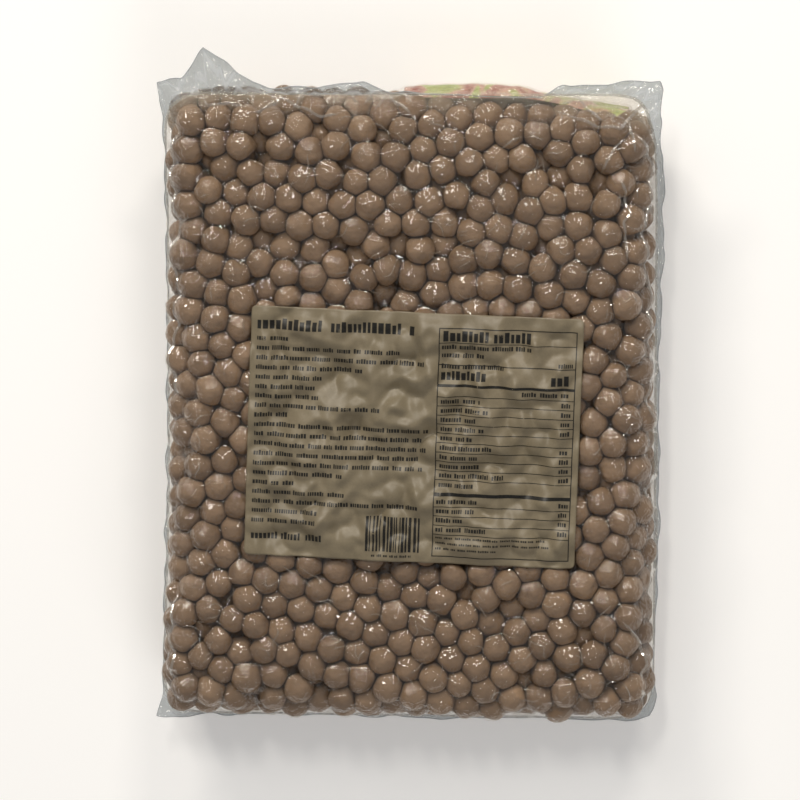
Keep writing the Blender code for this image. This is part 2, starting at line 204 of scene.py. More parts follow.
# Small standing folds of the film. A ridge's shape is given by places across it and their heights.
CREASE_AREA = ((-0.104, 0.108), (-0.140, 0.140))
CREASE_BEND = 160.0
CREASE_TURN = (120.0, 420.0)
CREASE_STEPS = (3, 9)
CREASE_SIZES = (0.35, 0.9)
CREASE_SHAPE = ((-0.5, 0.0), (-0.22, 0.55), (0.0, 1.0), (0.22, 0.55), (0.5, 0.0))
CREASE_ROOT = 0.0001
CREASE_BEND_KEPT = 0.4
CREASE_SWAY = 0.7
CREASE_LABEL_GAP = 0.002
CREASE_FADE = 4.0
CREASE_END = 0.12
CREASE_COUNT = 620
CREASE_STEP = 0.0016
CREASE_WIDTH = 0.0009
CREASE_HEIGHT = 0.0006
NAMED_CREASE = 1.7

# The label as it is drawn over the pearls: its grid, how it is held, and its creases, each set by
# the size of its flat triangles and their greatest height.
LABEL_COLUMNS = 191
LABEL_ROWS = 145
LABEL_ROUND = 0.0022
LABEL_CLEARANCE = 0.00080
LABEL_SUCTION = 0.000030
LABEL_STIFFNESS = 36
LABEL_LIFT = 0.0015
LABEL_HELD = 0.0090
LABEL_LOOSE = 0.25
LABEL_START = 0.0040
LABEL_GIVE = 0.3
LATTICE = 64
LABEL_ROUNDS = 300
LABEL_THICK = 0.00015
CRUMPLES = ((0.0180, 0.00230), (0.0100, 0.00340), (0.0052, 0.00125))

# The label's print, measured from the label's top left corner. A line of print has a left and a
# right end, a middle and a height, the least and greatest length of its groups, and their gap.
INK_LIFT = 0.00008
INK_STEP = 0.0009
MILLIMETRE = 0.001
TEXT_HEIGHT = 0.0017
HEADING = (0.0030, 0.0760, 0.0085, 0.0040, (0.0200, 0.0330), 0.0032)
TEXT_LEFT = 0.0030
TEXT_TOP = 0.0148
TEXT_PITCH = 0.00442
TEXT_LENGTHS = (16, 66, 77, 49, 31, 27, 29, 59, 15, 80, 78, 79, 76, 78, 41, 19, 43, 76, 30, 30)
TEXT_END = (0.0030, 0.0385, 0.1062, 0.0026, (0.0080, 0.0120), 0.0022)
STRIPES = (0.0560, 0.0800, 0.0945, 0.1105)
STRIPE_WIDTHS = [0.0005, 0.0008, 0.0012]
STRIPE_GAPS = [0.0005, 0.0007, 0.0011]
STRIPES_LINE = (0.0590, 0.0770, 0.1125, 0.0009, (0.0015, 0.0030), 0.0008)
BLOCK_WIDTH = 0.46
BLOCK_LEAST = 0.0006
BLOCK_SPREAD = (0.65, 1.35)
BLOCK_TALL = [0.5, 0.5, 0.5, 0.72]
BLOCK_GAP = 0.42

# The print's ruled table: its sides, its lines of print from its left side, or with negative ends
# from its right, its rules, and its rows. Each set of rows has the lengths of its lines, the place of
# the first, its rules' edges, the starts of its two columns, and how low the print lies.
TABLE = (0.0865, 0.1492, 0.0062, 0.1118)
TABLE_RULE = 0.00042
TABLE_INDENT = 0.0015
TABLE_PITCH = 0.0043
TABLE_LINES = (
    (0.0020, 0.0410, 0.0042, 0.0040, (0.0160, 0.0220), 0.0030),
    (0.0015, 0.0420, 0.0090),
    (0.0015, 0.0210, 0.0128),
    (0.0015, 0.0300, 0.0178),
    (-0.0080, -0.0015, 0.0155),
    (0.0015, 0.0230, 0.0222, 0.0034, (0.0200, 0.0230), 0.0020),
    (-0.0110, -0.0015, 0.0228, 0.0040, (0.0090, 0.0100), 0.0020),
    (-0.0240, -0.0015, 0.0292),
)
TABLE_RULES = ((0.0068, 0.0071), (0.0168, 0.0172), (0.0258, 0.0270), (0.0758, 0.0774))
TABLE_ROWS = (
    ((20, 24, 18, 22, 17, 26, 21, 20, 32, 18), 0.0336, (-0.0023, -0.0020), (0.0020, 0.0060), 0.0002),
    ((20, 19, 14, 25), 0.0800, (0.0021, 0.0024), (0.0015, 0.0055), 0.0),
)
TABLE_BARE_ROW = 4
NOTE_LENGTHS = (52, 55, 30)
NOTE_TOP = 0.0968
NOTE_PITCH = 0.0026
NOTE_LINE = (0.0008, (0.0020, 0.0050), 0.0008)

# The camera, and the photograph's scale of metres to a pixel on the labelled face.
CAMERA_DISTANCE = 2.0
CAMERA_LENS = 197.0
CAMERA_EAST = math.radians(4.5)
CAMERA_NORTH = math.radians(6.5)
VIEW_CENTRE = (-0.0046, 0.0046, 0.0275)
PIXEL = 0.00046
MIDDLE_PIXEL = 410.0

# The studio: the floor, the sky, the point that the lamps are turned to, and each lamp's place,
# size, power and colour, and whether glossy surfaces show it.
FLOOR_HALF = 3.0
SKY_COLOUR = (0.98, 0.96, 0.95, 1.0)
SKY_STRENGTH = 0.26
LIT_POINT = (0.0, 0.0, 0.03)
LAMPS = (
    ("window", (-1.0, 2.1, 2.6), (1.1, 0.8), 11.5, (1.0, 0.96, 0.90), False),
    ("fill", (1.1, -1.9, 1.9), (1.8, 1.2), 19.0, (1.0, 0.97, 0.93), False),
    ("lamp_left", (-0.84, 1.90, 1.24), (0.76, 0.26), 21.5, (1.0, 0.93, 0.82), True),
    ("lamp_right", (0.56, 2.10, 1.40), (0.56, 0.20), 15.0, (1.0, 0.94, 0.84), True),
    ("lamp_high", (-0.20, 1.24, 2.10), (0.20, 0.50), 11.0, (1.0, 0.96, 0.88), True),
)

# Each film: its name, its milkiness where taut and slack, its milky colour, roughness and relief,
# the colour that it lets through, and how much it shines when seen straight on. On the clear film the
# cream haze where it hangs slack is partly real milkiness and partly a painted sheen of crumpled film.
CLEAR_FILM = ("film_clear", (0.005, 0.20), (0.78, 0.71, 0.58), 0.03, 0.0009, (0.97, 0.965, 0.955), 0.07)
SEAM_FILM = ("film_seam", (0.07, 0.32), (0.72, 0.76, 0.80), 0.06, 0.0013, (0.48, 0.505, 0.51), 0.08)
FOLD_FILM = ("film_crease", (0.08, 0.08), (0.90, 0.82, 0.68), 0.10, 0.0003, (0.97, 0.96, 0.94), 0.30)

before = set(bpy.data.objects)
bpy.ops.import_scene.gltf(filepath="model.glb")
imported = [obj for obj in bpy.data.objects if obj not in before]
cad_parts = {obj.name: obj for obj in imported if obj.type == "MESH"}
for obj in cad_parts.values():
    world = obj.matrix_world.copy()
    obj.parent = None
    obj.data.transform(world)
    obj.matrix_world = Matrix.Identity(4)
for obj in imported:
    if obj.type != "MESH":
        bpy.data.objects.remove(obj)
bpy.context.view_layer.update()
sheet_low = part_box("print_sheet")[0]
PLACE = np.array(
    [
        sheet_low.x - SHEET_LEFT,
        sheet_low.y - SHEET_FOOT,
        sheet_low.z + HALF_THICK - SHEET_DEPTH,
    ]
)
FLOOR = -PLACE[2]


def towards_foot(y):
    """How far a place lies towards the foot, from 0 at the middle to 1, squared."""
    return np.clip(-y / HALF_LENGTH, 0.0, 1.0) ** 2


def flat_width_at(y):
    """Half the width between the rounded edges, which grows a little towards the foot."""
    return HALF_WIDTH + FOOT_FLARE * towards_foot(y) - HALF_THICK


def lean_at(y):
    """Place across of the bag's middle line, which leans to the left towards the foot."""
    return LEAN + FOOT_LEAN * towards_foot(y)


def edge_curve(place):
    """How far the rounded edge reaches out at a height, or up at a place across it."""
    return (HALF_THICK**EDGE_POWER - np.abs(place) ** EDGE_POWER) ** (1.0 / EDGE_POWER)


def face_rise(x, y):
    """How far the labelled face swells above the flat."""
    across = 1.0 - (x / HALF_WIDTH) ** 2
    along = 1.0 - (y / HALF_LENGTH) ** 2
    crown = CROWN * np.clip(across, 0.0, 1.0) * np.clip(along, 0.0, 1.0)
    crossed = np.sin(x * CROSSED_WAVES[0] + CROSSED_START[0])
    crossed = crossed * np.cos(y * CROSSED_WAVES[1] + CROSSED_START[1])
    slanted = np.sin(x * SLANTED_WAVES[0] + y * SLANTED_WAVES[1])
    return crown + SWELL * (crossed + SLANTED_SHARE * slanted)


def wall_depth(points):
    """Depth of each point under the film and the film's outward direction there."""
    x, y, z = points.T
    aside = x - lean_at(y)
    across = np.maximum(np.abs(aside) - flat_width_at(y), 0.0)
    along = np.maximum(np.abs(y) - FLAT_LENGTH, 0.0)
    out = (across**CORNER_POWER + along**CORNER_POWER) ** (1.0 / CORNER_POWER) + 1e-9
    height = z - np.where(z > 0.0, face_rise(x, y), 0.0) * np.clip(z / HALF_THICK, 0.0, 1.0)
    reach = (out**EDGE_POWER + np.abs(height) ** EDGE_POWER) ** (1.0 / EDGE_POWER)
    sideways = (out / reach) ** (EDGE_POWER - 1.0)
    slope = np.stack(
        [
            np.sign(aside) * (across / out) ** (CORNER_POWER - 1.0) * sideways,
            np.sign(y) * (along / out) ** (CORNER_POWER - 1.0) * sideways,
            np.sign(height) * (np.abs(height) / reach) ** (EDGE_POWER - 1.0),
        ],
        axis=1,
    )
    steepness = np.linalg.norm(slope, axis=1) + 1e-9
    return (HALF_THICK - reach) / steepness, slope / steepness[:, None]


def behind_sheet(points, margin):
    """Which points lie under the printed sheet, or closer to its edge than the margin."""
    x, y, z = points.T
    across = (x > SHEET_LEFT - margin) & (x < SHEET_RIGHT + margin)
    on_back = (z < -HALF_THICK / 2.0) & (y > SHEET_FOOT - margin)
    on_end = (y > FLAT_LENGTH) & (z < SHEET_TOP + margin)
    return across & (on_back | on_end)


def search_tree(points):
    """A search tree of the points."""
    tree = kdtree.KDTree(len(points))
    for index, point in enumerate(points):
        tree.insert(point, index)
    tree.balance()
    return tree


def found_near(tree, point, reach):
    """Indices of the points of a tree within reach of a point."""
    return np.array([found for _, found, _ in tree.find_range(point, reach)], dtype=int)


def near_pairs(points, reach):
    """Index pairs of the points closer to each other than reach."""
    tree = search_tree(points)
    pairs = []
    for index, point in enumerate(points):
        for _, other, _ in tree.find_range(point, reach):
            if other > index:
                pairs.append((index, other))
    return np.array(pairs).T


def settle_pearls():
    """Centres and radii of all the pearls, pushed apart and held in by the film."""
    random = np.random.default_rng(SEED)
    box = np.array([HALF_WIDTH, HALF_LENGTH, HALF_THICK])
    trial = random.uniform(-1.0, 1.0, (PEARL_COUNT * 2, 3)) * box
    centres = trial[wall_depth(trial)[0] > PEARL_RADIUS * START_DEPTH][:PEARL_COUNT]
    radii = PEARL_RADIUS * (1.0 + PEARL_SPREAD * random.uniform(-1.0, 1.0, len(centres)))
    wall = radii + random.uniform(-1.0, 1.0, len(centres)) * HEIGHT_SPREAD
    for step in range(SETTLE_STEPS):
        if step % STEPS_BETWEEN_SEARCHES == 0:
            first, second = near_pairs(centres, 2.0 * PEARL_RADIUS * SEARCH_REACH)
            touch = radii[first] + radii[second]
        apart = centres[first] - centres[second]
        distance = np.linalg.norm(apart, axis=1) + 1e-9
        push = apart * (PUSH_SHARE * np.maximum(touch - distance, 0.0) / distance)[:, None]
        for axis in range(3):
            centres[:, axis] += np.bincount(first, push[:, axis], len(centres))
            centres[:, axis] -= np.bincount(second, push[:, axis], len(centres))
        depth, normal = wall_depth(centres)
        kept = wall + SHEET_RECESS * behind_sheet(centres, SHEET_MARGIN)
        centres -= normal * np.maximum(kept - depth, 0.0)[:, None]
    return centres, radii


def skin(u, v, side, depth):
    """Point at a depth under the film. u and v run from -1 to 1, seam to seam, over one side."""
    run_y = np.abs(v) * (FLAT_LENGTH + EDGE_ARC)
    inner_y = np.sign(v) * np.minimum(run_y, FLAT_LENGTH)
    flat_x = flat_width_at(inner_y)
    run_x = np.abs(u) * (flat_x + EDGE_ARC)
    inner_x = np.sign(u) * np.minimum(run_x, flat_x)
    round_x = np.clip((run_x - flat_x) / EDGE_ARC, 0.0, 1.0)
    round_y = np.clip((run_y - FLAT_LENGTH) / EDGE_ARC, 0.0, 1.0)
    disk_x = round_x * np.sqrt(1.0 - round_y**2 / 2.0)
    disk_y = round_y * np.sqrt(1.0 - round_x**2 / 2.0)
    reach = np.sqrt(disk_x**2 + disk_y**2) + 1e-9
    turn = np.clip(reach, 0.0, 1.0) * math.pi / 2.0
    square = (disk_x / reach) ** CORNER_POWER + (disk_y / reach) ** CORNER_POWER + 1e-9
    squarer = np.minimum(square ** (-1.0 / CORNER_POWER), SQUARE_LIMIT)
    bulge = (np.sin(turn) ** EDGE_POWER + np.cos(turn) ** EDGE_POWER) ** (-1.0 / EDGE_POWER)
    radius = (HALF_THICK - depth) * bulge
    x = inner_x + np.sign(u) * disk_x / reach * squarer * np.sin(turn) * radius
    y = inner_y + np.sign(v) * disk_y / reach * squarer * np.sin(turn) * radius
    x = x + lean_at(y)
    z = np.cos(turn) * radius
    if side > 0:
        z = z + face_rise(x, y) * np.cos(turn)
    return np.stack([x, y, side * z], axis=-1)


def skin_grid(rows, columns):
    """A grid of the skin's v and u over one side."""
    return np.meshgrid(np.linspace(-1.0, 1.0, rows), np.linspace(-1.0, 1.0, columns), indexing="ij")


def face_uv(x, y):
    """The skin's u and v on the labelled side at a place in plan."""
    found = []
    for place, flat in ((x - lean_at(y), flat_width_at(y)), (y, FLAT_LENGTH)):
        out = np.clip(np.abs(place) - flat, 0.0, HALF_THICK)
        turn = np.arctan2(out, edge_curve(out)) / (math.pi / 2.0)
        run = np.minimum(np.abs(place), flat) + turn * EDGE_ARC
        found.append(np.sign(place) * run / (flat + EDGE_ARC))
    return found


def grid_quads(rows, columns):
    """Faces between the points of a grid, counter-clockwise where rows run up and columns right."""
    first = (np.arange(rows - 1)[:, None] * columns + np.arange(columns - 1)).ravel()
    return np.stack([first, first + 1, first + columns + 1, first + columns], axis=1)


def between(grid, row, column):
    """Values of a grid at places between its points, given in rows and columns."""
    row = np.clip(row, 0.0, grid.shape[0] - 1.001)
    column = np.clip(column, 0.0, grid.shape[1] - 1.001)
    i, j = row.astype(int), column.astype(int)
    down, right = row - i, column - j
    if grid.ndim > 2:
        down, right = down[..., None], right[..., None]
    low = grid[i, j] * (1.0 - right) + grid[i, j + 1] * right
    high = grid[i + 1, j] * (1.0 - right) + grid[i + 1, j + 1] * right
    return low * (1.0 - down) + high * down


def around(grid):
    """The sum of the four neighbours of each point of a grid of heights."""
    wide = np.pad(grid, 1, mode="edge")
    return wide[:-2, 1:-1] + wide[2:, 1:-1] + wide[1:-1, :-2] + wide[1:-1, 2:]


def new_mesh(name, points, faces):
    """A smooth mesh object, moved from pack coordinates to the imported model's place."""
    mesh = bpy.data.meshes.new(name)
    placed = np.asarray(points).reshape(-1, 3) + PLACE
    mesh.from_pydata(placed.tolist(), [], np.asarray(faces).tolist())
    mesh.polygons.foreach_set("use_smooth", np.ones(len(mesh.polygons), dtype=bool))
    mesh.update()
    obj = bpy.data.objects.new(name, mesh)
    bpy.context.scene.collection.objects.link(obj)
    return obj


def join_grids(name, grids):
    """One mesh of several grids of points."""
    faces, count = [], 0
    for grid in grids:
        rows, columns = grid.shape[:2]
        faces.append(grid_quads(rows, columns) + count)
        count += rows * columns
    points = np.concatenate([grid.reshape(-1, 3) for grid in grids])
    return new_mesh(name, points, np.concatenate(faces))


def add_piece(obj, material, node):
    """Gives a piece of the object its material, hangs it on the root and hides the CAD part that it takes
    the place of.
    """
    obj.data.materials.append(material)
    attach(obj, "root")
    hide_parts(node)


def set_values(obj, name, values):
    """Keeps one number for each of the mesh's points, for its material to read."""
    obj.data.attributes.new(name, "FLOAT", "POINT").data.foreach_set("value", np.ravel(values))


def cube_sphere(cells):
    """Unit directions and faces of a sphere made of six square grids."""
    line = np.tan(np.linspace(-math.pi / 4.0, math.pi / 4.0, cells + 1))
    b, a = np.meshgrid(line, line, indexing="ij")
    one = np.ones_like(a)
    sides = [(one, a, b), (-one, b, a), (b, one, a), (a, -one, b), (a, b, one), (b, a, -one)]
    points = np.concatenate([np.stack(side, axis=-1).reshape(-1, 3) for side in sides])
    quads = np.concatenate([grid_quads(cells + 1, cells + 1) + k * one.size for k in range(6)])
    _, first, merged = np.unique(np.round(points, 6), axis=0, return_index=True, return_inverse=True)
    ways = points[first] / np.linalg.norm(points[first], axis=1)[:, None]
    return ways, merged.reshape(-1)[quads]


def contact_planes(centres, radii):
    """For each pearl, the directions of its neighbours and the distances of the planes between them."""
    first, second = near_pairs(centres, 2.0 * PEARL_RADIUS * CONTACT_REACH)
    one = np.concatenate([first, second])
    other = np.concatenate([second, first])
    order = np.argsort(one, kind="stable")
    one, other = one[order], other[order]
    way = centres[other] - centres[one]
    distance = np.linalg.norm(way, axis=1)
    middle = (distance**2 + radii[one] ** 2 - radii[other] ** 2) / (2.0 * distance)
    count = np.bincount(one, minlength=len(centres))
    place = np.arange(len(one)) - np.repeat(np.cumsum(count) - count, count)
    ways = np.zeros((len(centres), count.max(), 3))
    planes = np.full((len(centres), count.max()), 1.0)
    ways[one, place] = way / distance[:, None]
    planes[one, place] = middle - CONTACT_GAP
    return ways, planes


class Pearls:
    """All the pearls of the bag, and how each is squeezed and lumpy."""

    def __init__(self):
        self.centres, self.radii = settle_pearls()
        beyond = self.beyond_slant()
        self.centres, self.radii = self.centres[beyond < SLANT_KEPT], self.radii[beyond < SLANT_KEPT]
        self.depth, self.normal = wall_depth(self.centres)
        random = np.random.default_rng(SEED + 1)
        count = len(self.centres)
        over_edge = behind_sheet(self.centres, 0.0) & (self.centres[:, 1] > FLAT_LENGTH)
        raised = SHEET_RECESS * over_edge * np.clip(
            (self.centres[:, 2] - RAISED_FROM[0]) / (RAISED_FROM[1] - RAISED_FROM[0]), 0.0, 1.0
        )
        sunk = SUNK_DEPTH * random.uniform(0.0, 1.0, count) ** SUNK_POWER - raised
        self.centres -= self.normal * sunk[:, None]
        self.centres += random.normal(0.0, JITTER, (count, 3))
        self.radii = self.radii * random.uniform(*SIZE_RANGE, count)
        share = SLANT_DEEP / (SLANT_DEEP + SLANT_KEPT)
        pushed = np.maximum(self.beyond_slant() + SLANT_DEEP, 0.0) * (1.0 - share)
        self.centres[:, :2] -= SLANT_WAY * pushed[:, None]
        self.ways, self.planes = contact_planes(self.centres, self.radii)
        facing = random.normal(0.0, 1.0, (count, FACETS, 3))
        facing /= np.linalg.norm(facing, axis=2)[..., None]
        flat = self.radii[:, None] * random.uniform(*FACET_REACH, (count, FACETS))
        self.ways = np.concatenate([self.ways, facing], axis=1)
        self.planes = np.concatenate([self.planes, flat], axis=1)
        self.wave = random.normal(0.0, LUMP_RATE, (count, LUMP_WAVES, 3))
        self.phase = random.uniform(0.0, 2.0 * math.pi, (count, LUMP_WAVES))
        self.tone = random.uniform(0.0, 1.0, count)

    def beyond_slant(self):
        """How far each pearl's outer side lies beyond the slanted line."""
        beyond = (self.centres[:, :2] - SLANT_POINT) @ SLANT_WAY + PEARL_RADIUS
        return np.where(self.centres[:, 0] > SLANT_POINT[0] - SLANT_MARGIN, beyond, -1.0)

    def shape(self, chosen, ways):
        """Points of the chosen pearls, one for each direction."""
        lumps = np.sin(np.einsum("nkd,vd->nvk", self.wave[chosen], ways) + self.phase[chosen, None, :])
        outward = np.einsum("nd,vd->nv", self.normal[chosen], ways)
        free = self.radii[chosen, None] * (PLUMP - SQUASH * outward**2) + LUMP_HEIGHT * lumps.sum(axis=2)
        facing = np.einsum("nkd,vd->nvk", self.ways[chosen], ways)
        limits = self.planes[chosen, None, :] / np.maximum(facing, LEAST_FACING)
        limits = np.concatenate([free[..., None], limits], axis=2)
        least = limits.min(axis=2)
        excess = np.exp((least[..., None] - limits) / CONTACT_SOFT).sum(axis=2)
        reach = least - CONTACT_SOFT * np.log(excess)
        points = self.centres[chosen, None, :] + reach[..., None] * ways
        points[..., 2] = np.maximum(points[..., 2], FLOOR + 2.0 * FLOOR_CLEARANCE)
        return points

    def join(self, name, chosen, cells, material):
        """One piece of the chosen pearls, with how light each is kept for the material."""
        ways, quads = cube_sphere(cells)
        faces = (quads[None] + (np.arange(len(chosen)) * len(ways))[:, None, None]).reshape(-1, 4)
        obj = new_mesh(name, self.shape(chosen, ways), faces)
        set_values(obj, "tone", np.repeat(self.tone[chosen], len(ways)))
        add_piece(obj, material, "bag_of_pearls")
        return obj


def seam_outline():
    """The film's outer edge, counter-clockwise from the foot's left corner, as in the CAD."""
    foot = HALF_LENGTH + SEAM_FOOT
    head = HALF_LENGTH + SEAM_HEAD
    wide = HALF_WIDTH + FOOT_FLARE
    side = HALF_WIDTH + SEAM_SIDE
    outline = [
        (-wide - 0.0025, -foot - 0.0005, 0.0),
        (-wide + 0.0080, -foot - 0.0025, 0.0),
        (-0.0600, -foot + 0.0005, 0.0),
        (-0.0100, -foot - 0.0010, 0.0),
        (0.0500, -foot + 0.0010, 0.0),
        (wide - 0.0120, -foot, 0.0),
        (wide - 0.0010, -foot + 0.0020, 0.0),
        (wide + 0.0025, -foot + 0.0120, 0.0),
        (wide - 0.0005, -foot + 0.0240, 0.0),
        (wide, -0.1000, 0.0),
        (side, -0.0600, 0.0),
        (side - 0.0010, 0.0200, 0.0),
        (side + 0.0010, 0.0700, 0.0),
        (side + 0.0010, 0.1100, SEAM_LIFT * 0.4),
        (side - 0.0010, head - 0.0160, SEAM_LIFT),
        (side + 0.0005, head - 0.0040, SEAM_LIFT),
        (side - 0.0010, head, SEAM_LIFT),
        (side - 0.0450, head - 0.0020, SEAM_LIFT),
        (0.0600, head - 0.0080, SEAM_LIFT),
        (0.0060, head - 0.0060, SEAM_LIFT),
        (-0.0200, head, SEAM_LIFT),
        (-0.0640, head - 0.0020, SEAM_LIFT),
        (-0.0780, head + 0.0030, SEAM_LIFT),
        (-0.0940, head + 0.0150, SEAM_LIFT),
        (-0.1035, head, SEAM_LIFT),
        (-side, head - 0.0010, SEAM_LIFT),
        (-side + 0.0010, 0.1200, SEAM_LIFT * 0.5),
        (-side, 0.0900, 0.0),
        (-side + 0.0010, 0.0400, 0.0),
        (-side, -0.0300, 0.0),
        (-side - 0.0010, -0.0800, 0.0),
        (-wide - 0.0005, -0.1200, 0.0),
    ]
    return [(x + lean_at(y), y, z) for x, y, z in outline]


def resample(points, step, closed=False):
    """Points at even steps along a line of straight runs."""
    points = np.asarray(points, dtype=float)
    if closed:
        points = np.vstack([points, points[:1]])
    run = np.concatenate([[0.0], np.cumsum(np.linalg.norm(np.diff(points, axis=0), axis=1))])
    count = max(int(round(run[-1] / step)), 2)
    at = np.linspace(0.0, run[-1], count + 1)
    if closed:
        at = at[:-1]
    return np.stack([np.interp(at, run, points[:, axis]) for axis in range(points.shape[1])], axis=1)


def seam_lines():
    """Even points along the seam's outer edge, and for each the place where it leaves the bag's wall."""
    edge = resample(seam_outline(), SEAM_STEP, closed=True)
    inner_y = np.clip(edge[:, 1], -FLAT_LENGTH, FLAT_LENGTH)
    flat_x = flat_width_at(inner_y)
    lean = lean_at(inner_y)
    inner = np.stack([np.clip(edge[:, 0], lean - flat_x, lean + flat_x), inner_y], axis=1)
    way = edge[:, :2] - inner
    way /= np.linalg.norm(way, axis=1)[:, None]
    out = edge_curve(edge[:, 2])
    square = (np.abs(way) ** CORNER_POWER).sum(axis=1) ** (-1.0 / CORNER_POWER)
    root = edge.copy()
    root[:, :2] = inner + way * (out * square)[:, None]
    return edge, root


class Film:
    """The film over both sides of the bag, as heights along lines that leave the bag's inside."""

    def __init__(self, pearls, root, sheet):
        v, u = skin_grid(FILM_ROWS, FILM_COLUMNS)
        inner = np.stack([skin(u, v, side, FILM_ROOT) for side in (1, -1)])
        way = np.stack([skin(u, v, side, 0.0) for side in (1, -1)]) - inner
        self.length = np.linalg.norm(way, axis=-1)
        self.inner = inner
        self.way = way / self.length[..., None]
        self.roots, self.ways = self.inner.reshape(-1, 3), self.way.reshape(-1, 3)
        self.outer = self.roots + self.ways * self.length.reshape(-1)[:, None]
        over = self.over_pearls(pearls)
        stop = np.maximum(over, self.over_seam(root))
        stop = np.maximum(stop, self.over_points(sheet))
        self.height = self.draw_tight(stop)
        self.slack = self.slack_near(root, self.height - over)
        self.points = self.inner + self.way * self.height[..., None]
        self.points[..., 2] = np.maximum(self.points[..., 2], FLOOR + FLOOR_CLEARANCE)

    def over_pearls(self, pearls):
        """The least height that clears every pearl."""
        tree = search_tree(self.roots + self.ways * (FILM_ROOT - PEARL_RADIUS))
        height = np.zeros(len(self.roots))
        for index in np.flatnonzero(pearls.depth < PEARL_RADIUS * HOLDING_LAYER):
            centre = pearls.centres[index]
            radius = pearls.radii[index] * (PLUMP - SQUASH) + FILM_CLEARANCE
            near = found_near(tree, centre, radius * HOLDING_REACH)
            away = self.roots[near] - centre
            along = -(away * self.ways[near]).sum(axis=1)
            inside = along**2 - (away**2).sum(axis=1) + radius**2
            hit = inside > 0.0
            height[near[hit]] = np.maximum(height[near[hit]], along[hit] + np.sqrt(inside[hit]))
        return height.reshape(self.length.shape)

    def over_seam(self, root):
        """The height at which the film is held out along the seam."""
        tree = search_tree(self.outer)
        held = np.zeros(len(self.outer))
        full = self.length.reshape(-1)
        for point in root[::2]:
            for _, index, distance in tree.find_range(point, SEAM_TENT_REACH):
                tent = full[index] + SEAM_TENT * (1.0 - SEAM_TENT_FALL * distance / SEAM_TENT_REACH)
                held[index] = max(held[index], tent)
        return held.reshape(self.length.shape)

    def over_points(self, points):
        """The least height that clears the points of a sheet."""
        tree = search_tree(self.outer)
        height = np.zeros(len(self.roots))
        for point in points.reshape(-1, 3):
            near = found_near(tree, point, SHEET_SEARCH)
            away = point - self.roots[near]
            along = (away * self.ways[near]).sum(axis=1)
            beside = (away**2).sum(axis=1) - along**2
            hit = beside < SHEET_POINT_REACH**2
            height[near[hit]] = np.maximum(height[near[hit]], along[hit] + SHEET_CLEARANCE)
        return height.reshape(self.length.shape)

    def slack_near(self, root, gap):
        """How slack the film hangs near the seam, from 0 to 1, which makes it look milky: partly real
        milkiness and partly a painted cream sheen of the crumpled film there.
        """
        tree = search_tree(root)
        distance = np.array([tree.find(point)[2] for point in self.outer]).reshape(self.length.shape)
        near = np.clip(1.0 - distance / SLACK_REACH, 0.0, 1.0)
        return near * np.clip(gap / SLACK_GAP, 0.0, 1.0)

    def draw_tight(self, stop):
        """The film's height as it is drawn in everywhere, and stopped by what it lies on."""
        height = np.maximum(stop, self.length + SEAM_TENT)
        for _ in range(FILM_ROUNDS):
            wide = np.zeros((2, FILM_ROWS + 2, FILM_COLUMNS + 2))
            wide[:, 1:-1, 1:-1] = height
            wide[:, 0, 1:-1] = height[::-1, 1]
            wide[:, -1, 1:-1] = height[::-1, -2]
            wide[:, 1:-1, 0] = height[::-1, :, 1]
            wide[:, 1:-1, -1] = height[::-1, :, -2]
            beside = wide[:, :-2, 1:-1] + wide[:, 2:, 1:-1] + wide[:, 1:-1, :-2] + wide[:, 1:-1, 2:]
            height = np.maximum(stop, beside / 4.0 - FILM_SUCTION)
        return height

    def on_face(self, u, v):
        """Points of the film on the labelled side, and its outward directions there."""
        row = (v + 1.0) / 2.0 * (FILM_ROWS - 1)
        column = (u + 1.0) / 2.0 * (FILM_COLUMNS - 1)
        return between(self.points[0], row, column), between(self.way[0], row, column)


def make_film(film, material):
    """The film over the labelled side and over the underside, which meet at the bag's middle."""
    quads = grid_quads(FILM_ROWS, FILM_COLUMNS)
    for name, grid, slack, faces in (
        ("film_face", film.points[0], film.slack[0], quads),
        ("film_under", film.points[1], film.slack[1], quads[:, ::-1]),
    ):
        obj = new_mesh(name, grid, faces)
        set_values(obj, "slack", slack)
        add_piece(obj, material, "bag_of_pearls")


